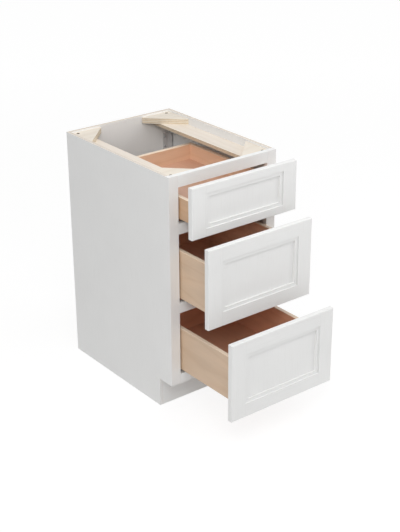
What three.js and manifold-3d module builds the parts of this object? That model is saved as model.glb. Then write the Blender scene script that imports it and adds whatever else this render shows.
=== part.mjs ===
// Base cabinet with three drawers: face-frame carcass, full-overlay drawer fronts with a recessed
// panel, dovetailed drawer boxes and full-extension slides under the boxes. The top is open, ready
// for a countertop.
//
// Millimetres, +Z up. The front faces -Y, and left and right are those of someone facing it.
// The pieces are drawn with x = 0 at mid width, y = 0 at the front of the face frame and z = 0 on
// the floor. The whole then moves so that the origin is under the middle of the toe-kick board.

import * as THREE from "three";
import { mergeVertices } from "three/addons/utils/BufferGeometryUtils.js";
import Module from "manifold-3d";

const wasm = await Module();
wasm.setup();

// ---- Driving dimensions ------------------------------------------------------------------------

// Carcass
const cabinetWidth = 457.2;
const cabinetDepth = 609.6; // front of the face frame to rear of the back panel
const cabinetHeight = 876.3;
const sheetThickness = 12.7; // plywood of the sides, bottom, back, toe kick and planks
const housingDepth = 6.35; // how far the bottom and the back are let into the sides
const toeKickHeight = 107.95;
const toeKickRecess = 72;

// Face frame
const frameThickness = 19.05;
const stileWidth = 38.1;
const railWidth = 38.1;
const topRailWidth = 41.3;

// Planks and corner blocks under the open top
const plankWidth = 76.2;
const blockLeg = 123;
const blockTip = 5; // blunt end of each leg
const blockThickness = 22.2;
const blockDrop = 6.35; // cabinet top down to block top
const blockHoleRadius = 5.5;
const blockHoleInset = 20; // from the side panel
const blockHoleSetback = 13; // from the face frame or the back panel

// Drawer fronts
const reveal = 6.35; // face frame left bare round and between the fronts
const topFrontHeight = 177.8;
const frontThickness = 19.05;
const frontEdge = 1.5; // chamfer round the front's face
const frontStile = 58.7; // flat face of the upright members
const frontRail = 50.8; // flat face of the cross members
const topFrontRail = 28.6; // the same on the shallow top front
const ledgeWidth = 12.7; // step between the flat face and the panel
const ledgeDepth = 3.2; // flat face down to the step
const panelDepth = 9.525; // flat face down to the panel
const frontPanelThickness = 6.35;
const frontGroove = 9.5; // depth of the groove that holds the panel
const panelPlay = 1; // room round the panel in its groove

// Drawer boxes
const wall = 15.875; // sides, fronts and backs of the boxes
const boxEasing = 2.4; // rounding of the boxes' top edges
const boxSideGap = 4.8; // box to face-frame opening, each side
const boxBottomGap = 16; // bottom of the opening to underside of the box
const topBoxHeight = 76.2;
const middleBoxHeight = 174.6;
const bottomBoxHeight = 158.75;
const floorRecess = 12.7; // underside of the sides up to the floor
const floorThickness = 6.35;
const floorGroove = 6.35;
const floorPlay = 0.5; // room round the floor in its grooves
const closedGap = 1; // face frame to the back of a closed front
const rearSpace = 82.55; // back of a closed box to the back panel
const tailPitch = 27; // dovetails, about
const tailEndShare = 0.34; // half of a tail's end, as a share of the pitch
const tailRootShare = 0.24; // half of a tail's root
const tailGap = 0.25; // glue line on the slopes

// How far each drawer stands open
const topOpened = 92.7;
const middleOpened = 176;
const bottomOpened = 296;

// Slides
const slideWidth = 22;
const slideSteel = 1.5;
const slideLip = 4; // turned-in edges of the channels
const slideSideGap = 1.6; // box side to slide
const slideHeadroom = 1.8; // cabinet channel to the drawer channel above it
const slidePlay = 0.3; // running clearance of the middle member
const webThickness = 7;
const cabinetSlideSetback = 2; // front of the face frame to the channel's front end
const middleSlideSetback = 20;
const middleSlideRearGap = 15; // middle member's end to the closed box's rear
const catchLength = 50; // front catch beside the drawer channel
const catchWidth = 14;
const catchHeight = 11;
const hookThickness = 2;
const hookRise = 9; // top of the box floor to the middle of the hook's peg
const hookRadius = 3;
const hookPegLength = 8;
const hookPlay = 0.3;
const slideNotch = 38; // width of the notches in the box back
const bracketHeight = 82;
const bracketPlate = 23.5; // width of the bracket's tall plate, beside the side panel
const bracketFlange = 27; // depth of the bracket's outer side
const bracketSteel = 2;
const bracketReach = 20; // how far the bracket stands outside the opening
const socketDepth = 84; // back panel to the front of the bracket's socket
const socketEngagement = 22; // length of channel inside the socket

// ---- Sizes worked out from them ----------------------------------------------------------------

const halfWidth = cabinetWidth / 2;
const sideInner = halfWidth - sheetThickness;
const backInner = cabinetDepth - sheetThickness;
const openingHalf = halfWidth - stileWidth;
const deckTop = toeKickHeight + railWidth;
const blockTop = cabinetHeight - blockDrop;
const plankTop = blockTop - blockThickness;

const frontHalf = halfWidth - reveal;
const lowerFrontHeight = (cabinetHeight - toeKickHeight - 4 * reveal - topFrontHeight) / 2;
const topFrontBottom = cabinetHeight - reveal - topFrontHeight;
const middleFrontBottom = topFrontBottom - reveal - lowerFrontHeight;
const bottomFrontBottom = toeKickHeight + reveal;

// Each middle rail is centred on the gap between two fronts.
const upperRailMiddle = topFrontBottom - reveal / 2;
const lowerRailMiddle = middleFrontBottom - reveal / 2;

const boxHalf = openingHalf - boxSideGap;
const boxInner = boxHalf - wall;
const boxFrontFace = -closedGap;
const boxRear = backInner - rearSpace;
const slideMiddle = boxInner - slideSideGap - slideWidth / 2;
const lowerChannelHeight = boxBottomGap - slideHeadroom;

// ---- Materials ---------------------------------------------------------------------------------

function material(color, roughness, metalness = 0) {
  return new THREE.MeshStandardMaterial({ color, roughness, metalness });
}

const paint = material(0xe4e3e0, 0.42);
const framePaint = material(0xdcd8d3, 0.42);
const plywood = material(0xe6dac6, 0.62);
const blockWood = material(0xe7dccb, 0.66);
const boxWood = material(0xd9ab80, 0.45);
const boxFloorWood = material(0xdcb791, 0.48);
const slideMetal = material(0x8d9094, 0.34, 0.9);

// ---- Shape helpers -----------------------------------------------------------------------------
// Points are written once, at their final numbers, so that faces that meet match exactly.

function box(xA, xB, yA, yB, zA, zB) {
  const low = [Math.min(xA, xB), yA, zA];
  const high = [Math.max(xA, xB), yB, zB];
  const geometry = new THREE.BoxGeometry(1, 1, 1);
  const points = geometry.getAttribute("position");
  for (let i = 0; i < points.count; i += 1) {
    for (let axis = 0; axis < 3; axis += 1) {
      points.setComponent(i, axis, points.getComponent(i, axis) < 0 ? low[axis] : high[axis]);
    }
  }
  return geometry;
}

// An outline of [a, b] points pushed along an axis: the outline lies in (y, z), (x, z) or (x, y).
function prism(axis, outline, from, to, holes = []) {
  const shape = new THREE.Shape(outline.map(([a, b]) => new THREE.Vector2(a, b)));
  shape.holes = holes.map((hole) => new THREE.Path(hole.map(([a, b]) => new THREE.Vector2(a, b))));
  const geometry = new THREE.ExtrudeGeometry(shape, { depth: 1, bevelEnabled: false });
  const points = geometry.getAttribute("position");
  for (let i = 0; i < points.count; i += 1) {
    const a = points.getX(i);
    const b = points.getY(i);
    const far = points.getZ(i) > 0.5;
    if (axis === "x") {
      points.setXYZ(i, far ? to : from, a, b);
    } else if (axis === "y") {
      points.setXYZ(i, a, far ? from : to, b);
    } else {
      points.setXYZ(i, a, b, far ? to : from);
    }
  }
  return geometry;
}

function circle(a, b, radius, sides = 12) {
  return Array.from({ length: sides }, (_, i) => {
    const turn = ((i + 0.5) / sides) * 2 * Math.PI;
    return [a + radius * Math.cos(turn), b + radius * Math.sin(turn)];
  });
}

function toSolid(geometry) {
  const bare = new THREE.BufferGeometry();
  bare.setAttribute("position", geometry.getAttribute("position").clone());
  bare.setIndex(geometry.getIndex());
  const merged = mergeVertices(bare);
  const mesh = new wasm.Mesh({
    numProp: 3,
    vertProperties: merged.getAttribute("position").array,
    triVerts: new Uint32Array(merged.getIndex().array),
  });
  return new wasm.Manifold(mesh);
}

function toGeometry(solid) {
  const mesh = solid.getMesh();
  const geometry = new THREE.BufferGeometry();
  geometry.setAttribute("position", new THREE.BufferAttribute(mesh.vertProperties, 3));
  geometry.setIndex(new THREE.BufferAttribute(mesh.triVerts, 1));
  const faceted = geometry.toNonIndexed();
  faceted.computeVertexNormals();
  return faceted;
}

function cut(blank, tools) {
  const solid = tools.reduce((left, tool) => left.subtract(toSolid(tool)), toSolid(blank));
  return toGeometry(solid);
}

function join(geometries) {
  const [first, ...others] = geometries.map(toSolid);
  return toGeometry(others.reduce((whole, other) => whole.add(other), first));
}

function addPiece(group, name, geometry, finish) {
  const mesh = new THREE.Mesh(geometry, finish);
  mesh.name = name;
  group.add(mesh);
}

// ---- Carcass -----------------------------------------------------------------------------------

const sides = [
  { name: "left", sign: -1 },
  { name: "right", sign: 1 },
];

// The side panel stands behind its stile, notched for the toe kick, with a housing across it for
// the bottom panel and a rabbet down its rear edge for the back panel.
function sidePanel(sign) {
  const outline = [
    [frameThickness, toeKickHeight],
    [toeKickRecess, toeKickHeight],
    [toeKickRecess, 0],
    [cabinetDepth, 0],
    [cabinetDepth, cabinetHeight],
    [frameThickness, cabinetHeight],
  ];
  const blank = prism("x", outline, ...[sign * sideInner, sign * halfWidth].sort((a, b) => a - b));
  const housingFloor = sign * (sideInner + housingDepth);
  const clear = sign * (sideInner - sheetThickness);
  const deckHousing = box(housingFloor, clear, 0, cabinetDepth, deckTop - sheetThickness, deckTop);
  const backRabbet = box(
    housingFloor,
    clear,
    backInner,
    cabinetDepth + sheetThickness,
    -sheetThickness,
    cabinetHeight + sheetThickness,
  );
  return cut(blank, [deckHousing, backRabbet]);
}

function addCarcass(group) {
  const panelHalf = sideInner + housingDepth;
  const deckUnderside = deckTop - sheetThickness;
  for (const { name, sign } of sides) {
    addPiece(group, `${name}_side_panel`, sidePanel(sign), paint);
  }
  const deck = box(-panelHalf, panelHalf, frameThickness, backInner, deckUnderside, deckTop);
  addPiece(group, "bottom_panel", deck, plywood);
  const back = box(-panelHalf, panelHalf, backInner, cabinetDepth, 0, cabinetHeight);
  addPiece(group, "back_panel", back, paint);
  const toeKickRear = toeKickRecess + sheetThickness;
  const toeKick = box(-sideInner, sideInner, toeKickRecess, toeKickRear, 0, deckUnderside);
  addPiece(group, "toe_kick_board", toeKick, paint);
}

function addFaceFrame(group) {
  for (const { name, sign } of sides) {
    const stile = box(
      sign * openingHalf,
      sign * halfWidth,
      0,
      frameThickness,
      toeKickHeight,
      cabinetHeight,
    );
    addPiece(group, `${name}_stile`, stile, framePaint);
  }
  const rails = [
    { name: "top_rail", bottom: cabinetHeight - topRailWidth },
    { name: "upper_middle_rail", bottom: upperRailMiddle - railWidth / 2 },
    { name: "lower_middle_rail", bottom: lowerRailMiddle - railWidth / 2 },
    { name: "bottom_rail", bottom: toeKickHeight },
  ];
  for (const { name, bottom } of rails) {
    const top = name === "top_rail" ? cabinetHeight : bottom + railWidth;
    const rail = box(-openingHalf, openingHalf, 0, frameThickness, bottom, top);
    addPiece(group, name, rail, framePaint);
  }
}

// A triangular block in each top corner, with a hole for the screw that holds the countertop.
function addCornerBlocks(group) {
  const ends = [
    { name: "front", corner: frameThickness, inward: 1 },
    { name: "rear", corner: backInner, inward: -1 },
  ];
  for (const { name: end, corner, inward } of ends) {
    for (const { name: side, sign } of sides) {
      const at = (across, along) => [sign * (sideInner - across), corner + inward * along];
      const outline = [
        at(0, 0),
        at(blockLeg, 0),
        at(blockLeg, blockTip),
        at(blockTip, blockLeg),
        at(0, blockLeg),
      ];
      const hole = circle(...at(blockHoleInset, blockHoleSetback), blockHoleRadius);
      const block = prism("z", outline, plankTop, blockTop, [hole]);
      addPiece(group, `${end}_${side}_corner_block`, block, blockWood);
    }
  }
}

function addPlanks(group) {
  for (const { name, sign } of sides) {
    const plank = box(
      sign * (sideInner - plankWidth),
      sign * sideInner,
      frameThickness,
      backInner,
      plankTop - sheetThickness,
      plankTop,
    );
    addPiece(group, `${name}_top_plank`, plank, plywood);
  }
}

// ---- Drawer fronts -----------------------------------------------------------------------------

// The place of a point that lies so deep behind the face of a closed front.
function frontDepth(depth) {
  return depth - frontThickness - closedGap;
}

// The frame of a front: one moulded section run round four mitred corners. Each point of the
// section is [inset from the side edge, inset from the top or bottom edge, depth behind the face].
function frontFrame(drawer) {
  const stile = frontStile + ledgeWidth;
  const rail = drawer.rail + ledgeWidth;
  const section = [
    [0, 0, frontEdge],
    [frontEdge, frontEdge, 0],
    [frontStile, drawer.rail, 0],
    [frontStile, drawer.rail, ledgeDepth],
    [stile, rail, ledgeDepth],
    [stile, rail, panelDepth],
    [stile - frontGroove, rail - frontGroove, panelDepth],
    [stile - frontGroove, rail - frontGroove, panelDepth + frontPanelThickness],
    [stile, rail, panelDepth + frontPanelThickness],
    [stile, rail, frontThickness],
    [0, 0, frontThickness],
  ];
  const corners = [
    [-1, -1],
    [1, -1],
    [1, 1],
    [-1, 1],
  ];
  const points = corners.flatMap(([acrossSign, upSign]) =>
    section.flatMap(([acrossInset, upInset, depth]) => [
      acrossSign * (frontHalf - acrossInset),
      frontDepth(depth),
      upSign < 0 ? drawer.frontBottom + upInset : drawer.frontTop - upInset,
    ]),
  );
  const index = [];
  corners.forEach((_, c) => {
    const here = c * section.length;
    const next = ((c + 1) % corners.length) * section.length;
    section.forEach((__, i) => {
      const j = (i + 1) % section.length;
      index.push(here + i, next + i, next + j);
      index.push(here + i, next + j, here + j);
    });
  });
  const geometry = new THREE.BufferGeometry();
  geometry.setAttribute("position", new THREE.Float32BufferAttribute(points, 3));
  geometry.setIndex(index);
  const faceted = geometry.toNonIndexed();
  faceted.computeVertexNormals();
  return faceted;
}

function frontPanel(drawer) {
  const acrossInset = frontStile + ledgeWidth - frontGroove + panelPlay;
  const upInset = drawer.rail + ledgeWidth - frontGroove + panelPlay;
  return box(
    acrossInset - frontHalf,
    frontHalf - acrossInset,
    frontDepth(panelDepth),
    frontDepth(panelDepth + frontPanelThickness),
    drawer.frontBottom + upInset,
    drawer.frontTop - upInset,
  );
}

// ---- Drawer boxes ------------------------------------------------------------------------------

// The dovetails of a corner, from the bottom up, as the heights of each tail's root and end. At the
// rear the lowest tail runs down to the edge, because the box back is notched there.
function tailsOf(drawer, rear) {
  const count = Math.max(2, Math.round(drawer.boxHeight / tailPitch));
  const pitch = drawer.boxHeight / count;
  return Array.from({ length: count }, (_, i) => {
    const middle = drawer.boxBottom + (i + 0.5) * pitch;
    const toEdge = rear && i === 0;
    return {
      lowRoot: toEdge ? drawer.boxBottom : middle - pitch * tailRootShare,
      lowEnd: toEdge ? drawer.boxBottom : middle - pitch * tailEndShare,
      highEnd: middle + pitch * tailEndShare,
      highRoot: middle + pitch * tailRootShare,
    };
  });
}

// What rounds one top edge of a board: the corner at (a, top) less a quarter circle. The board lies
// on the side of a that inward points to, and the edge runs along the axis from one end to the other.
function easing(axis, a, inward, top, from, to) {
  const over = 1; // mm that the tool stands outside the board
  const turns = [0, 30, 60, 90].map((degrees) => (degrees * Math.PI) / 180);
  const arc = turns.map((turn) => [
    a + inward * boxEasing * (1 - Math.cos(turn)),
    top - boxEasing * (1 - Math.sin(turn)),
  ]);
  const outline = [
    [a - inward * over, top - boxEasing],
    ...arc,
    [a + inward * boxEasing, top + over],
    [a - inward * over, top + over],
  ];
  return prism(axis, outline, from, to);
}

// The box side, seen from outside, with tails at both ends.
function boxSide(drawer, sign) {
  const frontRoot = boxFrontFace + wall;
  const rearRoot = boxRear - wall;
  const zigzag = (root, end, tails) =>
    tails.flatMap(({ lowRoot, lowEnd, highEnd, highRoot }) => [
      [root, lowRoot],
      [end, lowEnd],
      [end, highEnd],
      [root, highRoot],
    ]);
  const rearEdge = zigzag(rearRoot, boxRear, tailsOf(drawer, true));
  const frontEdgeUpwards = zigzag(frontRoot, boxFrontFace, tailsOf(drawer, false));
  const outline = [
    [frontRoot, drawer.boxBottom],
    ...rearEdge,
    [rearRoot, drawer.boxTop],
    [frontRoot, drawer.boxTop],
    ...frontEdgeUpwards.reverse(),
  ];
  const blank = prism("x", outline, ...[sign * boxInner, sign * boxHalf].sort((a, b) => a - b));
  const easings = [
    easing("y", sign * boxHalf, -sign, drawer.boxTop, boxFrontFace, boxRear),
    easing("y", sign * boxInner, sign, drawer.boxTop, boxFrontFace, boxRear),
  ];
  return cut(blank, [floorRoom(drawer), ...easings]);
}

// The room that the floor and its play take out of the boards round it.
function floorRoom(drawer) {
  const half = boxInner + floorGroove + floorPlay;
  const front = boxFrontFace + wall - floorGroove - floorPlay;
  const rear = boxRear - wall + floorGroove + floorPlay;
  return box(-half, half, front, rear, drawer.floorBottom, drawer.floorTop);
}

function boxFloor(drawer) {
  const half = boxInner + floorGroove;
  const front = boxFrontFace + wall - floorGroove;
  const rear = boxRear - wall + floorGroove;
  return box(-half, half, front, rear, drawer.floorBottom, drawer.floorTop);
}

// The sockets that the tails of both sides take out of a box front or back. The board's outer face
// is at y = outer, and inward is +1 towards larger y.
function tailSockets(drawer, outer, inward) {
  const over = 1; // mm that the tool runs past the board
  const rear = inward < 0;
  const endY = outer - inward * over;
  const rootY = outer + inward * (wall + over);
  return sides.flatMap(({ sign }) =>
    tailsOf(drawer, rear).map(({ lowRoot, lowEnd, highEnd, highRoot }) => {
      const slope = ((highEnd - highRoot) / wall) * over;
      const toEdge = lowEnd === lowRoot;
      const outline = [
        [endY, toEdge ? lowEnd - over : lowEnd - slope - tailGap],
        [rootY, toEdge ? lowRoot - over : lowRoot + slope - tailGap],
        [rootY, highRoot - slope + tailGap],
        [endY, highEnd + slope + tailGap],
      ];
      const span = [sign * boxInner, sign * (boxHalf + over)].sort((a, b) => a - b);
      return prism("x", outline, ...span);
    }),
  );
}

// The easings of a box front or back: along its inner edge between the sides, and over both ends.
function endEasings(drawer, inner, inward) {
  const reach = wall + boxEasing;
  return [
    easing("x", inner, inward, drawer.boxTop, -boxInner, boxInner),
    ...sides.map(({ sign }) =>
      easing("y", sign * boxHalf, -sign, drawer.boxTop, inner - reach, inner + reach),
    ),
  ];
}

function boxFront(drawer) {
  const inner = boxFrontFace + wall;
  const blank = box(-boxHalf, boxHalf, boxFrontFace, inner, drawer.boxBottom, drawer.boxTop);
  const sockets = tailSockets(drawer, boxFrontFace, 1);
  return cut(blank, [...sockets, floorRoom(drawer), ...endEasings(drawer, inner, -1)]);
}

// The box back has notches that the slides pass through, and a hole for each slide's hook.
function boxBack(drawer) {
  const inner = boxRear - wall;
  const blank = box(-boxHalf, boxHalf, inner, boxRear, drawer.boxBottom, drawer.boxTop);
  const below = drawer.boxBottom - wall;
  const notches = sides.map(({ sign }) => {
    const notchEnd = sign * (boxInner - slideNotch);
    return box(sign * boxInner, notchEnd, inner - wall, boxRear + wall, below, drawer.floorBottom);
  });
  const holes = sides.map(({ sign }) => {
    const outline = circle(sign * slideMiddle, drawer.floorTop + hookRise, hookRadius + hookPlay);
    return prism("y", outline, boxRear - hookPegLength - hookPlay, boxRear + wall);
  });
  const easings = [
    ...endEasings(drawer, inner, 1),
    easing("x", boxRear, -1, drawer.boxTop, -boxHalf - wall, boxHalf + wall),
  ];
  const sockets = tailSockets(drawer, boxRear, -1);
  return cut(blank, [...sockets, floorRoom(drawer), ...notches, ...holes, ...easings]);
}

// ---- Slides ------------------------------------------------------------------------------------

// A channel's section, centred on x, from its closed base to its turned-in lips.
function channelSection(x, base, lips) {
  const up = Math.sign(lips - base);
  const half = slideWidth / 2;
  const side = (sign) => [
    [x + sign * half, base],
    [x + sign * half, lips],
    [x + sign * (half - slideLip), lips],
    [x + sign * (half - slideLip), lips - up * slideSteel],
    [x + sign * (half - slideSteel), lips - up * slideSteel],
    [x + sign * (half - slideSteel), base + up * slideSteel],
  ];
  return [...side(1), ...side(-1).reverse()];
}

// The fixed member: a channel from the face frame to the bracket on the back panel.
function cabinetSlide(drawer, sign) {
  const x = sign * slideMiddle;
  const base = drawer.openingBottom;
  const lips = base + lowerChannelHeight;
  const half = slideWidth / 2;
  const socketFront = backInner - socketDepth;
  const channelRear = socketFront + socketEngagement;
  const channel = prism("y", channelSection(x, base, lips), cabinetSlideSetback, channelRear);
  const outer = openingHalf + bracketReach;
  const inner = slideMiddle - half - bracketSteel;
  const plateFront = backInner - bracketSteel;
  const plateTop = base + bracketHeight;
  const tall = sign * (outer - bracketPlate);
  const plate = box(tall, sign * outer, plateFront, backInner, base, plateTop);
  const foot = box(sign * inner, sign * outer, plateFront, backInner, base, lips);
  const flange = box(
    sign * (outer - bracketSteel),
    sign * outer,
    backInner - bracketFlange,
    backInner,
    base,
    plateTop,
  );
  const socketOuter = slideMiddle + half + bracketSteel;
  const cheeks = [inner, socketOuter - bracketSteel].map((edge) =>
    box(sign * edge, sign * (edge + bracketSteel), socketFront, backInner, base, lips),
  );
  const tongue = box(
    sign * (slideMiddle - half),
    sign * (slideMiddle + half),
    socketFront,
    backInner,
    base,
    base + slideSteel,
  );
  return join([channel, plate, foot, flange, ...cheeks, tongue]);
}

// The middle member: a rail whose flanges run inside the two channels.
function middleSlide(drawer, sign) {
  const x = sign * slideMiddle;
  const inset = slideSteel + slidePlay;
  const flange = slideWidth / 2 - inset;
  const web = webThickness / 2;
  const heights = [
    drawer.openingBottom + inset,
    drawer.openingBottom + lowerChannelHeight - inset,
    drawer.boxBottom + inset,
    drawer.floorBottom - inset,
  ];
  const side = (half) => [
    [x + half * flange, heights[0]],
    [x + half * flange, heights[1]],
    [x + half * web, heights[1]],
    [x + half * web, heights[2]],
    [x + half * flange, heights[2]],
    [x + half * flange, heights[3]],
  ];
  const section = [...side(1), ...side(-1).reverse()];
  return prism("y", section, middleSlideSetback, boxRear - middleSlideRearGap);
}

// The drawer member: a channel under the box floor, with a catch beside its front end and a hook
// behind the box back whose peg enters the hole there.
function drawerSlide(drawer, sign) {
  const x = sign * slideMiddle;
  const half = slideWidth / 2;
  const front = boxFrontFace + wall + closedGap;
  const hookFront = boxRear + hookPlay;
  const hookRear = hookFront + hookThickness;
  const pegMiddle = drawer.floorTop + hookRise;
  const channel = prism("y", channelSection(x, drawer.floorBottom, drawer.boxBottom), front, hookRear);
  const catchBlock = box(
    sign * (slideMiddle - half - catchWidth),
    sign * (slideMiddle - half + slideSteel),
    front,
    front + catchLength,
    drawer.floorBottom - catchHeight,
    drawer.floorBottom,
  );
  const hookTop = pegMiddle + 2 * hookRadius;
  const hook = box(
    x - 2 * hookRadius,
    x + 2 * hookRadius,
    hookFront,
    hookRear,
    drawer.floorBottom - slideSteel,
    hookTop,
  );
  const peg = prism("y", circle(x, pegMiddle, hookRadius), boxRear - hookPegLength, hookRear);
  return join([channel, catchBlock, hook, peg]);
}

// ---- Assembly ----------------------------------------------------------------------------------

function drawerOf(name, frontBottom, frontHeight, rail, openingBottom, boxHeight, opened) {
  const boxBottom = openingBottom + boxBottomGap;
  const floorBottom = boxBottom + floorRecess;
  return {
    name,
    frontBottom,
    frontTop: frontBottom + frontHeight,
    rail,
    openingBottom,
    boxHeight,
    boxBottom,
    boxTop: boxBottom + boxHeight,
    floorBottom,
    floorTop: floorBottom + floorThickness,
    opened,
  };
}

const drawers = [
  drawerOf(
    "top",
    topFrontBottom,
    topFrontHeight,
    topFrontRail,
    upperRailMiddle + railWidth / 2,
    topBoxHeight,
    topOpened,
  ),
  drawerOf(
    "middle",
    middleFrontBottom,
    lowerFrontHeight,
    frontRail,
    lowerRailMiddle + railWidth / 2,
    middleBoxHeight,
    middleOpened,
  ),
  drawerOf(
    "bottom",
    bottomFrontBottom,
    lowerFrontHeight,
    frontRail,
    deckTop,
    bottomBoxHeight,
    bottomOpened,
  ),
];

// A drawer is drawn closed and then pulled out. Its middle slides come out half as far.
function addDrawer(cabinet, drawer) {
  const moving = new THREE.Group();
  moving.position.y = -drawer.opened;
  const halfway = new THREE.Group();
  halfway.position.y = -drawer.opened / 2;
  cabinet.add(moving, halfway);

  addPiece(moving, `${drawer.name}_drawer_front_frame`, frontFrame(drawer), paint);
  addPiece(moving, `${drawer.name}_drawer_front_panel`, frontPanel(drawer), paint);
  addPiece(moving, `${drawer.name}_drawer_box_front`, boxFront(drawer), boxWood);
  addPiece(moving, `${drawer.name}_drawer_box_back`, boxBack(drawer), boxWood);
  addPiece(moving, `${drawer.name}_drawer_floor`, boxFloor(drawer), boxFloorWood);
  for (const { name, sign } of sides) {
    addPiece(moving, `${drawer.name}_drawer_${name}_side`, boxSide(drawer, sign), boxWood);
    const slide = `${drawer.name}_${name}`;
    addPiece(cabinet, `${slide}_cabinet_slide`, cabinetSlide(drawer, sign), slideMetal);
    addPiece(halfway, `${slide}_middle_slide`, middleSlide(drawer, sign), slideMetal);
    addPiece(moving, `${slide}_drawer_slide`, drawerSlide(drawer, sign), slideMetal);
  }
}

const cabinet = new THREE.Group();
cabinet.position.y = -(toeKickRecess + sheetThickness / 2);
addCarcass(cabinet);
addFaceFrame(cabinet);
addCornerBlocks(cabinet);
addPlanks(cabinet);
for (const drawer of drawers) {
  addDrawer(cabinet, drawer);
}

export default cabinet;
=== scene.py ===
"""Looks of the base cabinet with three drawers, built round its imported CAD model.

Metres, +Z up, and the front faces -Y. The CAD solids stay as the visible pieces: they get rounded
edges and node materials. The screws and the bumpers are added as meshes of their own.
"""

import math

import bmesh
import bpy
from mathutils import Matrix, Vector


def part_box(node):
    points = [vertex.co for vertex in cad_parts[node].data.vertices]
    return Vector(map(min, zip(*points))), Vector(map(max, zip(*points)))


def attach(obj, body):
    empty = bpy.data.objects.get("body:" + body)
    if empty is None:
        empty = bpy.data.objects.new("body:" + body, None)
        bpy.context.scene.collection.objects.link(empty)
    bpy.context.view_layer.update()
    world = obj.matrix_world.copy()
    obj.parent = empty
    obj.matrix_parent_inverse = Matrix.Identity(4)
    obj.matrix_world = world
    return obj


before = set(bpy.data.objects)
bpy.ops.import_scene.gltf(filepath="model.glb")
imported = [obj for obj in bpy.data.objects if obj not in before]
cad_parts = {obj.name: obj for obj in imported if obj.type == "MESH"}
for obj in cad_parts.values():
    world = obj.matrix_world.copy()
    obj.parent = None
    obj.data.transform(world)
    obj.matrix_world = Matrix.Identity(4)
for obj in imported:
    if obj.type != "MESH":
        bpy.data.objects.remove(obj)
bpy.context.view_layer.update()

MM = 0.001
X, Y, Z = 0, 1, 2
REARWARD = Vector((0, 1, 0))
DRAWERS = ("top", "middle", "bottom")
SIDES = (("left", -1), ("right", 1))

# ---- Colours, linear -----------------------------------------------------------------------------

WHITE = (1, 1, 1)
PAINT = (0.850, 0.850, 0.842)
FRAME_PAINT = (0.850, 0.847, 0.841)
# The rails and the toe kick: the stiles' paint made lighter and cooler, as painted light that
# offsets the shade they stand in.
RAIL_PAINT_WITH_PAINTED_LIGHT = (0.870, 0.880, 0.876)
INSIDE_WHITE = (0.895, 0.882, 0.862)
VENEER = (0.840, 0.765, 0.675)
BLOCK_WOOD = (0.830, 0.760, 0.660)
# The wall of a corner block's screw hole: a dark painted shade for the shade deep in the hole.
HOLE_SHADE = (0.180, 0.130, 0.090)
# Plywood's layers: (light tone, dark tone).
PLY_TONES = ((0.740, 0.640, 0.500), (0.560, 0.430, 0.290))
PALE_TONES = ((0.820, 0.760, 0.690), (0.720, 0.640, 0.550))
BLOCK_TONES = ((0.850, 0.780, 0.660), (0.700, 0.560, 0.390))
# Drawer boxes: one wood in all three drawers, given as lit and shaded copies. The colours that
# differ per drawer are painted shade, and the redder, deeper inside and floor colours are painted
# shade and bounce light within the boxes.
BOX_OUTSIDE_WITH_PAINTED_SHADE = {
    "top": (0.600, 0.385, 0.232),
    "middle": (0.665, 0.482, 0.332),
    "bottom": (0.665, 0.482, 0.332),
}
BOX_INSIDE_PAINTED_SHADE = {
    "top": (0.800, 0.550, 0.385),
    "middle": (0.890, 0.555, 0.395),
    "bottom": (0.770, 0.420, 0.275),
}
BOX_FLOOR_PAINTED_SHADE = {
    "top": (0.620, 0.370, 0.260),
    "middle": (0.860, 0.525, 0.375),
    "bottom": (0.740, 0.420, 0.280),
}
# The paler colour of the boxes' top edges: a painted highlight where the light from above falls.
BOX_TOP_HIGHLIGHT = (0.850, 0.700, 0.550)
ZINC = (0.560, 0.570, 0.580)
GREY_PLASTIC = (0.300, 0.300, 0.305)
BRACKET_GREY = (0.620, 0.600, 0.590)
CLEAR_RUBBER = (0.720, 0.730, 0.730)

# ---- Patterns of the materials -------------------------------------------------------------------

# The same all ways, per metre.
PAINT_PEEL = 650
PAINT_CLOUDS = 5
END_SPECKS = 900
PLY_WAVER = 60
PLASTIC_GRAIN = 1800
RUBBER_HAZE = 700

# With a grain, per metre: (across it, along it).
PAINT_FIBRES = (420, 12)
WOOD_WARP = (7, 1.6)
WOOD_FIBRES = (520, 14)
WOOD_CLOUDS = (16, 3)
PLY_STREAKS = (90, 900)
STEEL_BRUSHING = (1400, 30)
STEEL_SPANGLE = (140, 60)

# Shades of a colour, darkest first: (value of the pattern, factor on the colour).
PAINT_SHADES = ((0.30, 0.985), (0.70, 1.012))
END_SHADES = ((0.35, 0.52), (0.65, 0.80))
PLY_LIGHT_SHADES = ((0.30, 0.90), (0.70, 1.08))
PLY_DARK_SHADES = ((0.35, 0.85), (0.65, 1.15))
STEEL_SHADES = ((0.30, 0.86), (0.70, 1.14))
PLASTIC_SHADES = ((0.30, 0.90), (0.70, 1.10))
RUBBER_SHADES = ((0.30, 0.95), (0.70, 1.05))
# The wood's are (value of the pattern, change of the factor at full contrast).
WOOD_SHADES = ((0.32, -0.10), (0.68, 0.06))
PAINT_LINES = ((0.28, (0.955, 0.953, 0.948)), (0.46, WHITE))

# Wood: growth rings per metre along both axes across the grain, and how far they wander.
RING_PITCH = (55, 38)
RING_WANDER = 9
# Masks made from a pattern or a distance: (edge, width of the ramp).
LATE_WOOD = (0.80, 0.50)
PORES = (0.36, 0.16)
GLUE_LINE = (0.45, 0.05)
FACE_TURN = (0.6, 0.2)
JOINT_LINE = (0.22 * MM, 0.20 * MM)
# How much of the darker colour shows there, and that colour as a factor on the wood's or paint's.
LATE_SHARE, LATE_TINT = 0.30, (0.80, 0.70, 0.58)
PORE_SHARE, PORE_TINT = 0.22, (0.70, 0.58, 0.46)
GLUE_SHARE, GLUE_TINT = 0.50, 0.65
JOINT_SHARE, JOINT_TINT = 0.35, 0.60

# Plywood: the layers of a sheet, how far they waver in layers, and how softly they meet.
PLIES = 7
PLY_WANDER = 0.25
PLY_BLUR = 0.12

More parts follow.
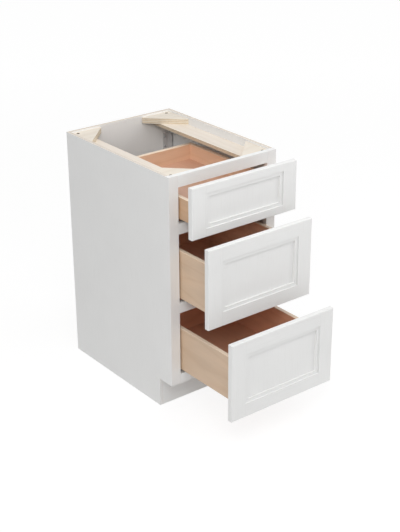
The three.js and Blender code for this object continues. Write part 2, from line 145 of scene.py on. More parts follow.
# Roughness: (least, what the pattern adds), or the same all over.
PAINT_ROUGH = (0.30, 0.16)
WOOD_ROUGH = (0.34, 0.20)
STEEL_ROUGH = (0.26, 0.22)
RUBBER_ROUGH = (0.22, 0.15)
END_ROUGH = 0.75
PLY_ROUGH = 0.78
HOLE_ROUGH = 0.80
PLASTIC_ROUGH = 0.55

# Relief: its depth, and the parts that the patterns have in it.
PAINT_RELIEF = 0.06 * MM
SHEET_RELIEF = 0.06 * MM
BOX_RELIEF = 0.08 * MM
STEEL_RELIEF = 0.03 * MM
RUBBER_RELIEF = 0.02 * MM
PEEL_HEIGHT, GRAIN_HEIGHT = 0.4, 0.6
FIBRE_HEIGHT, LATE_HEIGHT = 0.7, 0.3
GLUE_DEPTH = 0.5
JOINT_DEPTH = 2.0

# Gloss.
PAINT_GLOSS = {"Specular IOR Level": 0.45}
WOOD_GLOSS = {"Specular IOR Level": 0.40}
BOX_GLOSS = {"Coat Weight": 0.50, "Coat Roughness": 0.28, "Specular IOR Level": 0.40}
FLOOR_COAT = 0.20
RUBBER_GLOSS = {"Transmission Weight": 0.35}

# Contrast of the wood's pattern, 1 at its fullest.
SHEET_CONTRAST = 0.55
BLOCK_CONTRAST = 0.70
EDGE_CONTRAST = 0.60

# ---- Sizes ---------------------------------------------------------------------------------------

# Where a material changes on a piece.
CATCH_LENGTH = 50 * MM
CATCH_WIDTH = 14 * MM
SOCKET_DEPTH = 84 * MM
PLASTIC_RAMP = 0.4 * MM
HOLE_INSET = 20 * MM
HOLE_SETBACK = 13 * MM
HOLE_RADIUS = 5.5 * MM
HOLE_MARGIN = 0.3 * MM
HOLE_RAMP = 0.2 * MM
FRONT_STILE = 58.7 * MM
STILE_RAMP = 0.1 * MM

# Rounded edges.
STEEL_ROUND = 0.2 * MM
FLOOR_ROUND = 0.2 * MM
BOX_ROUND = 0.3 * MM
PANEL_ROUND = 0.3 * MM
FRONT_ROUND = 0.4 * MM
SHEET_ROUND = 0.4 * MM
SIDE_ROUND = 0.5 * MM
FRAME_ROUND = 0.6 * MM
BLOCK_ROUND = 0.7 * MM
ROUND_SEGMENTS = 2
WELD_REACH = 0.01 * MM
FLAT_ANGLE = math.radians(1)
ROUNDED_ANGLE = math.radians(40)
SHARP_ANGLE = math.radians(35)

# Screws. A profile is (share of the radius, share of the height), from the seat up.
SCREW_RADIUS = 4.2 * MM
SCREW_HEIGHT = 2.2 * MM
SCREW_SIDES = 24
SCREW_PROFILE = ((1.0, 0.0), (1.0, 0.30), (0.93, 0.62), (0.78, 0.86), (0.62, 1.0))
CROSS_REACH = 0.46 * SCREW_RADIUS
CROSS_HALF = 0.12 * SCREW_RADIUS
CROSS_TAPER = 0.7
CROSS_FLOOR = 0.35 * SCREW_HEIGHT
# The fronts' screws stand off the middle of the box front by these shares of its width and height.
FRONT_SCREW_ACROSS = 0.32
FRONT_SCREW_SPREAD = 0.26
FRONT_SCREW_RISE = 6 * MM
ONE_ROW_BOX = 100 * MM
BRACKET_PLATE = 2 * MM
BRACKET_SCREW_INSET = 16 * MM
BRACKET_SCREW_HEIGHTS = (30 * MM, 66 * MM)

# Bumpers, with the same kind of profile.
BUMPER_RADIUS = 4.5 * MM
BUMPER_HEIGHT = 0.8 * MM
BUMPER_SIDES = 20
BUMPER_PROFILE = ((1.0, 0.0), (1.0, 0.25), (0.86, 0.6), (0.6, 0.86), (0.28, 0.98))
BUMPER_INSET = 14 * MM

# ---- Shader nodes --------------------------------------------------------------------------------


def tint(colour, factor):
    return tuple(min(1.0, channel * factor) for channel in colour)


def times(colour, factors):
    return tuple(channel * factor for channel, factor in zip(colour, factors))


def add_node(tree, kind, inputs=None, **settings):
    """A shader node with its settings, and with its inputs set or linked."""
    node = tree.nodes.new("ShaderNode" + kind)
    for key, value in settings.items():
        setattr(node, key, value)
    for key, value in (inputs or {}).items():
        if isinstance(value, bpy.types.NodeSocket):
            tree.links.new(value, node.inputs[key])
        else:
            node.inputs[key].default_value = value
    return node


class Shader:
    """A material's node tree, written as expressions."""

    def __init__(self, name, display):
        self.material = bpy.data.materials.new(name)
        self.material.use_nodes = True
        self.material.diffuse_color = (*display, 1)
        self.tree = self.material.node_tree
        self.tree.nodes.clear()
        coordinates = self.add("TexCoord")
        self.place = coordinates.outputs["Object"]
        self.at = self.split(self.place)
        self.facing = self.split(coordinates.outputs["Normal"])

    def add(self, kind, inputs=None, **settings):
        return add_node(self.tree, kind, inputs, **settings)

    def split(self, vector):
        return self.add("SeparateXYZ", {0: vector}).outputs

    def math(self, operation, a, b=0.0):
        return self.add("Math", {0: a, 1: b}, operation=operation).outputs[0]

    def inverse(self, share):
        return self.math("SUBTRACT", 1.0, share)

    def weighted(self, a, part_a, b, part_b):
        """The sum of a times its part and b times its part."""
        return self.math("ADD", self.math("MULTIPLY", a, part_a), self.math("MULTIPLY", b, part_b))

    def spread(self, pattern, least, added):
        return self.math("ADD", least, self.math("MULTIPLY", pattern, added))

    def step(self, value, edge, width):
        """0 below the edge and 1 above it, with a ramp of that width."""
        ends = {"From Min": edge - width / 2, "From Max": edge + width / 2}
        return self.add("MapRange", {"Value": value, **ends}).outputs[0]

    def across(self, axis):
        """1 on the faces that look along the axis, either way."""
        return self.step(self.math("ABSOLUTE", self.facing[axis]), *FACE_TURN)

    def face(self, axis, sign):
        """1 on the faces that look along the axis, the way of the sign."""
        return self.step(self.math("MULTIPLY", self.facing[axis], float(sign)), *FACE_TURN)

    def scaled(self, scale):
        return self.add("VectorMath", {0: self.place, 1: scale}, operation="MULTIPLY").outputs[0]

    def even(self, scale):
        """The place, squeezed for a pattern that is the same all ways."""
        return self.scaled((scale, scale, scale))

    def along(self, grain, across, lengthways):
        """The place, squeezed so that a pattern runs along the grain axis."""
        return self.scaled([lengthways if axis == grain else across for axis in (X, Y, Z)])

    def noise(self, vector, detail=3.0, roughness=0.55):
        inputs = {"Vector": vector, "Scale": 1.0, "Detail": detail, "Roughness": roughness}
        return self.add("TexNoise", inputs).outputs[0]

    def ramp(self, value, stops):
        node = self.add("ValToRGB", {0: value})
        elements = node.color_ramp.elements
        while len(elements) < len(stops):
            elements.new(1.0)
        for element, (position, colour) in zip(elements, stops):
            element.position = position
            element.color = (*colour, 1)
        return node.outputs[0]

    def shades(self, pattern, colour, stops):
        return self.ramp(pattern, [(position, tint(colour, factor)) for position, factor in stops])

    def mix(self, share, a, b):
        def whole(value):
            return value if isinstance(value, bpy.types.NodeSocket) else (*value, 1)

        node = self.add("Mix", {0: share, 6: whole(a), 7: whole(b)}, data_type="RGBA")
        return node.outputs[2]

    def blend(self, share, a, b):
        return self.add("Mix", {0: share, 2: a, 3: b}, data_type="FLOAT").outputs[0]

    def finish(self, colour, roughness, height, relief, gloss):
        """Ends the tree in a Principled shader. The gloss is its other inputs by name."""
        bump = self.add("Bump", {"Height": height, "Strength": 1.0, "Distance": relief})
        inputs = {"Base Color": colour, "Roughness": roughness, "Normal": bump.outputs[0]}
        surface = self.add("BsdfPrincipled", {**inputs, **gloss})
        self.add("OutputMaterial", {"Surface": surface.outputs[0]})
        return self.material


# ---- Layers: (colour, roughness, height) ---------------------------------------------------------


def paint_layer(shader, colour, grain):
    """Sprayed satin paint: fine orange peel over a faint wood grain."""
    peel = shader.noise(shader.even(PAINT_PEEL), detail=1.0)
    fibre = shader.noise(shader.along(grain, *PAINT_FIBRES), detail=4.0, roughness=0.65)
    cloud = shader.noise(shader.even(PAINT_CLOUDS), detail=2.0)
    tone = shader.shades(cloud, colour, PAINT_SHADES)
    lines = shader.ramp(fibre, PAINT_LINES)
    layers = {0: 1.0, 6: tone, 7: lines}
    painted = shader.add("Mix", layers, data_type="RGBA", blend_type="MULTIPLY").outputs[2]
    height = shader.weighted(peel, PEEL_HEIGHT, fibre, GRAIN_HEIGHT)
    return painted, shader.spread(fibre, *PAINT_ROUGH), height


def wood_layer(shader, colour, grain, contrast=1.0):
    """Clear-finished wood with growth rings, fibres and darker end grain."""
    first, second = (shader.at[axis] for axis in (X, Y, Z) if axis != grain)
    warp = shader.noise(shader.along(grain, *WOOD_WARP), detail=2.0)
    straight = shader.weighted(first, RING_PITCH[0], second, RING_PITCH[1])
    sweep = shader.math("ADD", straight, shader.math("MULTIPLY", warp, RING_WANDER))
    rings = shader.math("PINGPONG", sweep, 1.0)
    late = shader.step(rings, *LATE_WOOD)
    fibre = shader.noise(shader.along(grain, *WOOD_FIBRES), detail=4.0, roughness=0.7)
    cloud = shader.noise(shader.along(grain, *WOOD_CLOUDS), detail=3.0)
    factors = [(position, 1 + change * contrast) for position, change in WOOD_SHADES]
    tone = shader.shades(cloud, colour, factors)
    late_share = shader.math("MULTIPLY", late, LATE_SHARE * contrast)
    ringed = shader.mix(late_share, tone, times(colour, LATE_TINT))
    pores = shader.inverse(shader.step(fibre, *PORES))
    pore_share = shader.math("MULTIPLY", pores, PORE_SHARE * contrast)
    flecked = shader.mix(pore_share, ringed, times(colour, PORE_TINT))
    end = shader.across(grain)
    speck = shader.noise(shader.even(END_SPECKS), detail=2.0)
    whole = shader.mix(end, flecked, shader.shades(speck, colour, END_SHADES))
    rough = shader.blend(end, shader.spread(fibre, *WOOD_ROUGH), END_ROUGH)
    return whole, rough, shader.weighted(fibre, FIBRE_HEIGHT, late, LATE_HEIGHT)


def ply_layer(shader, axis, low, high, tones):
    """The edge of a plywood sheet, in layers of two tones across the axis from low to high."""
    light_tone, dark_tone = tones
    waver = shader.noise(shader.even(PLY_WAVER), detail=2.0)
    rise = shader.math("SUBTRACT", shader.at[axis], low)
    wander = shader.math("SUBTRACT", waver, 0.5)
    depth = shader.weighted(rise, PLIES / (high - low), wander, PLY_WANDER)
    turn = shader.math("PINGPONG", shader.math("ADD", depth, 0.5), 1.0)
    parity = shader.step(turn, 0.5, PLY_BLUR)
    within = shader.math("ABSOLUTE", shader.math("SUBTRACT", shader.math("FRACT", depth), 0.5))
    glue = shader.step(within, *GLUE_LINE)
    streaks = shader.noise(shader.along(axis, *PLY_STREAKS), detail=3.0, roughness=0.7)
    light = shader.shades(streaks, light_tone, PLY_LIGHT_SHADES)
    dark = shader.shades(streaks, dark_tone, PLY_DARK_SHADES)
    layers = shader.mix(parity, dark, light)
    glue_share = shader.math("MULTIPLY", glue, GLUE_SHARE)
    colour = shader.mix(glue_share, layers, tint(dark_tone, GLUE_TINT))
    height = shader.math("SUBTRACT", streaks, shader.math("MULTIPLY", glue, GLUE_DEPTH))
    return colour, PLY_ROUGH, height


def zinc_layer(shader):
    brushed = shader.noise(shader.along(Y, *STEEL_BRUSHING), detail=3.0, roughness=0.7)
    spangle = shader.noise(shader.along(Y, *STEEL_SPANGLE), detail=2.0)
    colour = shader.shades(spangle, ZINC, STEEL_SHADES)
    return colour, shader.spread(brushed, *STEEL_ROUGH), brushed


def plastic_layer(shader, colour):
    grain = shader.noise(shader.even(PLASTIC_GRAIN), detail=1.0)
    return shader.shades(grain, colour, PLASTIC_SHADES), PLASTIC_ROUGH, grain


def merged(shader, share, a, b):
    """Two layers mixed by a share."""
    return (
        shader.mix(share, a[0], b[0]),
        shader.blend(share, a[1], b[1]),
        shader.blend(share, a[2], b[2]),
    )


# ---- Materials -----------------------------------------------------------------------------------


def painted_wood(name, colour, grain):
    shader = Shader(name, colour)
    return shader.finish(*paint_layer(shader, colour, grain), PAINT_RELIEF, PAINT_GLOSS)


def painted_front(name, colour, joint):
    """A glued-up front frame: upright grain in the stiles, level grain in the rails, and a hairline
    joint between them at that distance from the middle."""
    shader = Shader(name, colour)
    reach = shader.math("ABSOLUTE", shader.at[X])
    upright = shader.step(reach, joint, STILE_RAMP)
    layer = merged(shader, upright, paint_layer(shader, colour, X), paint_layer(shader, colour, Z))
    near = shader.math("ABSOLUTE", shader.math("SUBTRACT", reach, joint))
    line = shader.inverse(shader.step(near, *JOINT_LINE))
    share = shader.math("MULTIPLY", line, JOINT_SHARE)
    paint = shader.mix(share, layer[0], tint(colour, JOINT_TINT))
    height = shader.math("SUBTRACT", layer[2], shader.math("MULTIPLY", line, JOINT_DEPTH))
    return shader.finish(paint, layer[1], height, PAINT_RELIEF, PAINT_GLOSS)


def box_wood(name, drawer, grain, inward):
    """Solid wood of a drawer box, with painted shade and a painted highlight: redder where the mask
    says inward, as painted shade and bounce light inside the box, and paler on top edges, as a
    painted highlight.
    """
    outside = BOX_OUTSIDE_WITH_PAINTED_SHADE[drawer]
    shader = Shader(name, outside)
    layer = wood_layer(shader, outside, grain)
    # The inward faces get the darker, redder inside colour: painted shade and bounce light.
    layer = merged(shader, inward(shader), layer, wood_layer(shader, BOX_INSIDE_PAINTED_SHADE[drawer], grain))
    # A painted highlight on the upward faces of the boards.
    painted_top_highlight = wood_layer(shader, BOX_TOP_HIGHLIGHT, grain, EDGE_CONTRAST)
    layer = merged(shader, shader.face(Z, 1), layer, painted_top_highlight)
    return shader.finish(*layer, BOX_RELIEF, BOX_GLOSS)


def hole_shade_mask(shader, low, high, sign, end):
    """Where a corner block's wood is the wall of its screw hole, which gets a dark painted shade.
    """
    x = high[X] - HOLE_INSET if sign > 0 else low[X] + HOLE_INSET
    y = low[Y] + HOLE_SETBACK if end == "front" else high[Y] - HOLE_SETBACK
    across = shader.math("SUBTRACT", shader.at[X], x)
    along = shader.math("SUBTRACT", shader.at[Y], y)
    square = shader.math("ADD", shader.math("POWER", across, 2), shader.math("POWER", along, 2))
    distance = shader.math("SQRT", square)
    return shader.inverse(shader.step(distance, HOLE_RADIUS + HOLE_MARGIN, HOLE_RAMP))


def block_ply(name, block, sign, end):
    """The thick plywood of a corner block, with a dark painted shade on the wall of its screw hole.
    """
    low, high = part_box(block)
    shader = Shader(name, BLOCK_WOOD)
    edges = ply_layer(shader, Z, low[Z], high[Z], BLOCK_TONES)
    wide = wood_layer(shader, BLOCK_WOOD, X, BLOCK_CONTRAST)
    layer = merged(shader, shader.across(Z), edges, wide)
    hole_shade = hole_shade_mask(shader, low, high, sign, end)
    layer = merged(shader, hole_shade, layer, (HOLE_SHADE, HOLE_ROUGH, 0.0))
    return shader.finish(*layer, SHEET_RELIEF, WOOD_GLOSS)


def sheet(
    name, node, thickness, grain, painted=(), colour=VENEER, white=PAINT, tones=PLY_TONES, coat=0.0
):
    """A plywood sheet: painted on the faces named by (axis, sign), veneer on the other wide faces,
    and layers of the two tones on the other edges."""
    low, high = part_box(node)
    shader = Shader(name, white if painted else colour)
    veneer = wood_layer(shader, colour, grain, SHEET_CONTRAST)
    edges = ply_layer(shader, thickness, low[thickness], high[thickness], tones)
    layer = merged(shader, shader.across(thickness), edges, veneer)
    if painted:
        masks = [shader.face(axis, sign) for axis, sign in painted]
        covered = masks[0]
        for mask in masks[1:]:
            covered = shader.math("MAXIMUM", covered, mask)
        layer = merged(shader, covered, layer, paint_layer(shader, white, grain))
    return shader.finish(*layer, SHEET_RELIEF, {"Coat Weight": coat, **WOOD_GLOSS})


def steel_and_plastic(name, plastic_mask=None, plastic_colour=GREY_PLASTIC):
    """Zinc-plated steel. Where the mask is 1 it is moulded plastic."""
    shader = Shader(name, ZINC)
    layer = zinc_layer(shader)
    metal = 1.0
    if plastic_mask is not None:
        mask = plastic_mask(shader)
        layer = merged(shader, mask, layer, plastic_layer(shader, plastic_colour))
        metal = shader.inverse(mask)
    return shader.finish(*layer, STEEL_RELIEF, {"Metallic": metal})


def rubber(name):
    shader = Shader(name, CLEAR_RUBBER)
    haze = shader.noise(shader.even(RUBBER_HAZE), detail=2.0)
    colour = shader.shades(haze, CLEAR_RUBBER, RUBBER_SHADES)
    rough = shader.spread(haze, *RUBBER_ROUGH)
    return shader.finish(colour, rough, haze, RUBBER_RELIEF, RUBBER_GLOSS)


def catch_mask(drawer):
    """Where the drawer slides of this drawer are the catch's plastic: near the front and inward."""
    low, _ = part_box(f"{drawer}_right_drawer_slide")
    rear = low[Y] + CATCH_LENGTH
    inner = low[X] + CATCH_WIDTH

    def mask(shader):
        forward = shader.inverse(shader.step(shader.at[Y], rear, PLASTIC_RAMP))
        reach = shader.math("ABSOLUTE", shader.at[X])
        inward = shader.inverse(shader.step(reach, inner, PLASTIC_RAMP))
        return shader.math("MULTIPLY", forward, inward)

    return mask


def socket_mask(drawer):
    """Where the cabinet slides of this drawer are the rear bracket's plastic socket."""
    _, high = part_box(f"{drawer}_right_cabinet_slide")

    def mask(shader):
        return shader.step(shader.at[Y], high[Y] - SOCKET_DEPTH, PLASTIC_RAMP)

    return mask


def inside_shade_mask(axis, middle=0.0):
    """Where a box's boards face inward: toward that middle along the axis. There the wood gets its
    painted shade.
    """

    def mask(shader):
        offset = shader.math("SUBTRACT", shader.at[axis], middle)
        outward = shader.math("MULTIPLY", shader.math("SIGN", offset), shader.facing[axis])
        edge, width = FACE_TURN
        return shader.inverse(shader.step(outward, -edge, width))

    return mask


# ---- CAD pieces: edges and materials -------------------------------------------------------------


def dress(node, material, rounding, merge=True):
    """Gives a CAD piece its material, flat faces and small rounded edges. Faces in one plane merge,
    apart from those of pieces with many cut-outs."""
    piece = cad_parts[node]
    mesh = piece.data
    if "custom_normal" in mesh.attributes:
        mesh.attributes.remove(mesh.attributes["custom_normal"])
    mesh.shade_flat()
    mesh.materials.clear()
    mesh.materials.append(material)
    weld = piece.modifiers.new("weld", "WELD")
    weld.merge_threshold = WELD_REACH
    if merge:
        flatten = piece.modifiers.new("flatten", "DECIMATE")
        flatten.decimate_type = "DISSOLVE"
        flatten.angle_limit = FLAT_ANGLE
    edges = piece.modifiers.new("edges", "BEVEL")
    edges.width = rounding
    edges.segments = ROUND_SEGMENTS
    edges.limit_method = "ANGLE"
    edges.angle_limit = ROUNDED_ANGLE
    edges.use_clamp_overlap = True


def dress_carcass():
    for name, sign in SIDES:
        panel = f"{name}_side_panel"
        faces = [(X, sign), (X, -sign), (Y, -1)]
        paint = sheet(f"{name}_side_paint", panel, X, Z, painted=faces, tones=PALE_TONES)
        dress(panel, paint, SIDE_ROUND)
        dress(f"{name}_stile", painted_wood(f"{name}_stile_paint", FRAME_PAINT, Z), FRAME_ROUND)
        plank = f"{name}_top_plank"
        dress(plank, sheet(f"{name}_plank_ply", plank, Z, Y), SHEET_ROUND)
        for end in ("front", "rear"):
            block = f"{end}_{name}_corner_block"
            dress(block, block_ply(f"{block}_wood", block, sign, end), BLOCK_ROUND)
    forward = [(Y, -1)]
    back = sheet(
        "back_panel_ply", "back_panel", Y, Z, painted=forward, white=INSIDE_WHITE, tones=PALE_TONES
    )
    dress("back_panel", back, SHEET_ROUND)
    deck = sheet("deck_ply", "bottom_panel", Z, X, painted=[(Z, 1)], white=INSIDE_WHITE)
    dress("bottom_panel", deck, SHEET_ROUND)
    # The toe kick gets the rails' lighter paint, as painted light.
    kick = sheet("toe_kick_ply", "toe_kick_board", Y, X, painted=forward, white=RAIL_PAINT_WITH_PAINTED_LIGHT)
    dress("toe_kick_board", kick, SIDE_ROUND)
    # The rails' paint is lighter than the stiles', as painted light.
    level = painted_wood("rail_paint_painted_light", RAIL_PAINT_WITH_PAINTED_LIGHT, X)
    for rail in ("top_rail", "upper_middle_rail", "lower_middle_rail", "bottom_rail"):
        dress(rail, level, FRAME_ROUND)


def dress_drawers():
    _, front_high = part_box("top_drawer_front_frame")
    front_paint = painted_front("front_frame_paint", PAINT, front_high[X] - FRONT_STILE)
    panel_paint = painted_wood("front_panel_paint", PAINT, Z)
    middle_steel = steel_and_plastic("middle_slide_zinc")
    for drawer in DRAWERS:
        dress(f"{drawer}_drawer_front_frame", front_paint, FRONT_ROUND)
        dress(f"{drawer}_drawer_front_panel", panel_paint, PANEL_ROUND)
        side_low, side_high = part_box(f"{drawer}_drawer_right_side")
        middle = (side_low[Y] + side_high[Y]) / 2
        side_wood = box_wood(f"{drawer}_box_side_wood", drawer, Y, inside_shade_mask(X))
        end_wood = box_wood(f"{drawer}_box_end_wood", drawer, X, inside_shade_mask(Y, middle))
        dress(f"{drawer}_drawer_box_front", end_wood, BOX_ROUND, merge=False)
        dress(f"{drawer}_drawer_box_back", end_wood, BOX_ROUND, merge=False)
        floor = f"{drawer}_drawer_floor"
        floor_ply = sheet(f"{floor}_ply", floor, Z, Y, colour=BOX_FLOOR_PAINTED_SHADE[drawer], coat=FLOOR_COAT)
        dress(floor, floor_ply, FLOOR_ROUND)
        drawer_steel = steel_and_plastic(f"{drawer}_drawer_slide_zinc", catch_mask(drawer))
        cabinet_steel = steel_and_plastic(
            f"{drawer}_cabinet_slide_zinc", socket_mask(drawer), BRACKET_GREY
        )
        for name, _ in SIDES:
            dress(f"{drawer}_drawer_{name}_side", side_wood, BOX_ROUND, merge=False)
            dress(f"{drawer}_{name}_drawer_slide", drawer_steel, STEEL_ROUND)
            dress(f"{drawer}_{name}_middle_slide", middle_steel, STEEL_ROUND)
            dress(f"{drawer}_{name}_cabinet_slide", cabinet_steel, STEEL_ROUND, merge=False)


# ---- Small pieces --------------------------------------------------------------------------------


def seated(place, direction):
    """The matrix that puts a form's seat at that place and its top in that direction."""
    turn = Vector((0, 0, 1)).rotation_difference(direction)
    return Matrix.Translation(place) @ turn.to_matrix().to_4x4()


def ring(work, radius, height, count):
    """Points on a circle round the Z axis."""
    turns = [2 * math.pi * i / count for i in range(count)]
    return [work.verts.new((radius * math.cos(t), radius * math.sin(t), height)) for t in turns]


def loop_pairs(loop):
    """Each point of a closed loop with the next one."""
    return zip(loop, loop[1:] + loop[:1])


def skin(work, lower, upper):
    """Four-sided faces between two loops."""
    for (a, b), (d, c) in zip(loop_pairs(lower), loop_pairs(upper)):
        work.faces.new((a, b, c, d))


def round_wall(work, profile, radius, height, count):
    """The rings of a round form, with the wall between them. Its seat and its top are open."""
    rings = [ring(work, r * radius, h * height, count) for r, h in profile]
    for lower, upper in zip(rings, rings[1:]):
        skin(work, lower, upper)
    return rings


def screw_head(work, place):
    """A pan head with a cross recess."""
    rings = round_wall(work, SCREW_PROFILE, SCREW_RADIUS, SCREW_HEIGHT, SCREW_SIDES)
    arm, half = CROSS_REACH, CROSS_HALF
    corners = [(arm, half), (half, half), (half, arm), (-half, arm), (-half, half), (-arm, half)]
    corners += [(-x, -y) for x, y in corners]
    mouth = [work.verts.new((x, y, SCREW_HEIGHT)) for x, y in corners]
    bottom = [work.verts.new((x * CROSS_TAPER, y * CROSS_TAPER, CROSS_FLOOR)) for x, y in corners]
    mouth_edges = [work.edges.new(pair) for pair in loop_pairs(mouth)]
    top_edges = [work.edges.get(pair) for pair in loop_pairs(rings[-1])]
    bmesh.ops.triangle_fill(work, edges=top_edges + mouth_edges, use_beauty=True)
    skin(work, mouth, bottom)
    work.faces.new(bottom)
    work.faces.new(list(reversed(rings[0])))
    new = [v for group in (*rings, mouth, bottom) for v in group]
    bmesh.ops.transform(work, matrix=place, verts=new)


def bumper(work, place):
    rings = round_wall(work, BUMPER_PROFILE, BUMPER_RADIUS, BUMPER_HEIGHT, BUMPER_SIDES)
    work.faces.new(rings[-1])
    work.faces.new(list(reversed(rings[0])))
    bmesh.ops.transform(work, matrix=place, verts=[v for group in rings for v in group])


def gather(name, draw, places, material, body):
    """Adds one piece made of the same small form at several places."""
    work = bmesh.new()
    for place in places:
        draw(work, place)
    bmesh.ops.recalc_face_normals(work, faces=work.faces)
    mesh = bpy.data.meshes.new(name)
    work.to_mesh(mesh)
    work.free()
    mesh.materials.append(material)
    mesh.shade_smooth()
    mesh.set_sharp_from_angle(angle=SHARP_ANGLE)
    piece = bpy.data.objects.new(name, mesh)
    bpy.context.scene.collection.objects.link(piece)
    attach(piece, body)


def add_front_screws(drawer, zinc):
    """The screws that hold a front, inside its drawer box: two rows, or one in a low box."""
    low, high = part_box(f"{drawer}_drawer_box_front")
    across = FRONT_SCREW_ACROSS * (high[X] - low[X])
    middle = (low[Z] + high[Z]) / 2 + FRONT_SCREW_RISE
    box_height = high[Z] - low[Z]
    spread = 0.0 if box_height < ONE_ROW_BOX else FRONT_SCREW_SPREAD * box_height
    places = [
        seated((sign * across, high[Y], z), REARWARD)
        for z in sorted({middle - spread, middle + spread})
        for _, sign in SIDES
    ]
    name = f"{drawer}_drawer_front_screws"
    gather(name, screw_head, places, zinc, f"{drawer}_drawer")


def add_bracket_screws(drawer, zinc):
    """The screws that hold the rear brackets of the cabinet slides to the back panel."""
    places = []
    for side, sign in SIDES:
        low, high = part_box(f"{drawer}_{side}_cabinet_slide")
        outer = max(abs(low[X]), abs(high[X]))
        for rise in BRACKET_SCREW_HEIGHTS:
            at = (sign * (outer - BRACKET_SCREW_INSET), high[Y] - BRACKET_PLATE, low[Z] + rise)
            places.append(seated(at, -REARWARD))
    gather(f"{drawer}_bracket_screws", screw_head, places, zinc, "carcass")


def add_screws():
    zinc = steel_and_plastic("screw_zinc")
    for drawer in DRAWERS:
        add_front_screws(drawer, zinc)
        add_bracket_screws(drawer, zinc)


def add_bumpers():
    clear = rubber("bumper_rubber")
    for drawer in DRAWERS:
        low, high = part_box(f"{drawer}_drawer_front_frame")
        places = [
            seated((x, high[Y], z), REARWARD)
            for x in (low[X] + BUMPER_INSET, high[X] - BUMPER_INSET)
            for z in (low[Z] + BUMPER_INSET, high[Z] - BUMPER_INSET)
        ]
        name = f"{drawer}_drawer_bumpers"
        gather(name, bumper, places, clear, f"{drawer}_drawer")


# ---- Floor, light and camera ---------------------------------------------------------------------

FLOOR_SIZE = 30.0
# The floor's grey where it lights the cabinet, and where it is seen.
FLOOR_BOUNCE = 0.85
FLOOR_LIT = 0.22
# The seen floor's own light, near and far, and the distances between which it grows.
GLOW_NEAR = 0.84
GLOW_FAR = 0.895
GLOW_RISE = (1.2, 4.5)
AMBIENT = 0.325
# Soft boxes: (place, width, power).
SOFT_BOXES = {
    "right_box": ((2.4, -1.6, 1.6), 1.6, 23.7),
    "top_box": ((0.0, -0.2, 3.0), 2.4, 24.1),
    "left_box": ((-1.5, -1.9, 2.5), 1.4, 25.8),
}
BOX_AIM = Vector((0.0, -0.1, 0.45))
SUN_DIRECTION = Vector((-0.72, -0.40, 0.57))
SUN_STRENGTH = 0.52
SUN_SPREAD = math.radians(40)
CAMERA_PLACE = (-2.31278, -2.91325, 2.17214)
CAMERA_TURN = math.radians(-37.93267)
CAMERA_TILT = math.radians(24.52574)
CAMERA_ROLL = math.radians(-0.30889)
CAMERA_LENS = 79.278
SENSOR_WIDTH = 36.0


def grey(level):
    return (level, level, level, 1)


def seen_directly(tree):
    """1 for rays from the camera, a reflection or a refraction."""
    path = add_node(tree, "LightPath").outputs
    total = path["Is Camera Ray"]
    for name in ("Is Glossy Ray", "Is Transmission Ray"):
        total = add_node(tree, "Math", {0: total, 1: path[name]}, operation="MAXIMUM").outputs[0]
    return total


def choose(tree, unseen, seen, output):
    """Ends a tree in the output: one shader where it is seen directly, and the other elsewhere."""
    choice = add_node(tree, "MixShader", {0: seen_directly(tree), 1: unseen, 2: seen})
    add_node(tree, output, {0: choice.outputs[0]})


def add_floor():
    half = FLOOR_SIZE / 2
    mesh = bpy.data.meshes.new("floor")
    corners = [(-half, -half, 0), (half, -half, 0), (half, half, 0), (-half, half, 0)]
    mesh.from_pydata(corners, [], [(0, 1, 2, 3)])
    material = bpy.data.materials.new("floor_white")
    material.use_nodes = True
    tree = material.node_tree
    tree.nodes.clear()
    bounce = add_node(tree, "BsdfDiffuse", {"Color": grey(FLOOR_BOUNCE)})
    lit = add_node(tree, "BsdfDiffuse", {"Color": grey(FLOOR_LIT)})
    place = add_node(tree, "TexCoord").outputs["Object"]
    reach = add_node(tree, "VectorMath", {0: place}, operation="LENGTH").outputs["Value"]
    near, far = GLOW_RISE
    rise = {"From Min": near, "From Max": far, "To Min": GLOW_NEAR, "To Max": GLOW_FAR}
    strength = add_node(tree, "MapRange", {"Value": reach, **rise}).outputs[0]
    glow = add_node(tree, "Emission", {"Strength": strength})
    both = add_node(tree, "AddShader", {0: lit.outputs[0], 1: glow.outputs[0]})
    choose(tree, bounce.outputs[0], both.outputs[0], "OutputMaterial")
    mesh.materials.append(material)
    floor = bpy.data.objects.new("floor", mesh)
    bpy.context.scene.collection.objects.link(floor)


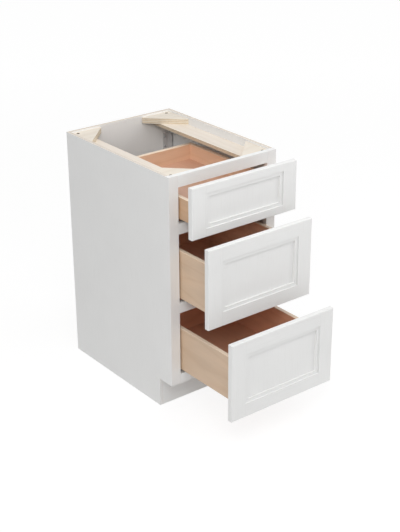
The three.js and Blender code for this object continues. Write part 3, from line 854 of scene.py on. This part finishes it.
def add_world():
    world = bpy.data.worlds.new("studio")
    bpy.context.scene.world = world
    world.use_nodes = True
    tree = world.node_tree
    tree.nodes.clear()
    soft, white = (
        add_node(tree, "Background", {"Color": grey(1), "Strength": strength}).outputs[0]
        for strength in (AMBIENT, 1.0)
    )
    choose(tree, soft, white, "OutputWorld")


def add_lamp(name, light, place, away):
    """A lamp that shines the other way than the direction away."""
    lamp = bpy.data.objects.new(name, light)
    turn = away.to_track_quat("Z", "Y").to_matrix().to_4x4()
    lamp.matrix_world = Matrix.Translation(place) @ turn
    bpy.context.scene.collection.objects.link(lamp)


def add_soft_box(name, place, width, power):
    """A square lamp that faces the cabinet."""
    light = bpy.data.lights.new(name, "AREA")
    light.shape = "SQUARE"
    light.size = width
    light.energy = power
    add_lamp(name, light, place, Vector(place) - BOX_AIM)


def add_sun(name, direction, strength):
    """Soft light from far away in that direction."""
    light = bpy.data.lights.new(name, "SUN")
    light.energy = strength
    light.angle = SUN_SPREAD
    add_lamp(name, light, direction, direction)


def add_camera():
    turn, tilt = CAMERA_TURN, CAMERA_TILT
    right = Vector((math.cos(turn), math.sin(turn), 0))
    back = Vector(
        (math.sin(turn) * math.cos(tilt), -math.cos(turn) * math.cos(tilt), math.sin(tilt))
    )
    up = back.cross(right)
    c, s = math.cos(CAMERA_ROLL), math.sin(CAMERA_ROLL)
    axes = (c * right + s * up, c * up - s * right, back)
    camera = bpy.data.objects.new("camera", bpy.data.cameras.new("camera"))
    camera.data.lens = CAMERA_LENS
    camera.data.sensor_width = SENSOR_WIDTH
    rotation = Matrix(axes).transposed().to_4x4()
    camera.matrix_world = Matrix.Translation(CAMERA_PLACE) @ rotation
    bpy.context.scene.collection.objects.link(camera)
    bpy.context.scene.camera = camera


add_camera()
add_floor()
add_world()
for box_name, soft_box in SOFT_BOXES.items():
    add_soft_box(box_name, *soft_box)
add_sun("left_sun", SUN_DIRECTION, SUN_STRENGTH)
dress_carcass()
dress_drawers()
add_screws()
add_bumpers()

bpy.context.scene.view_settings.view_transform = "Standard"
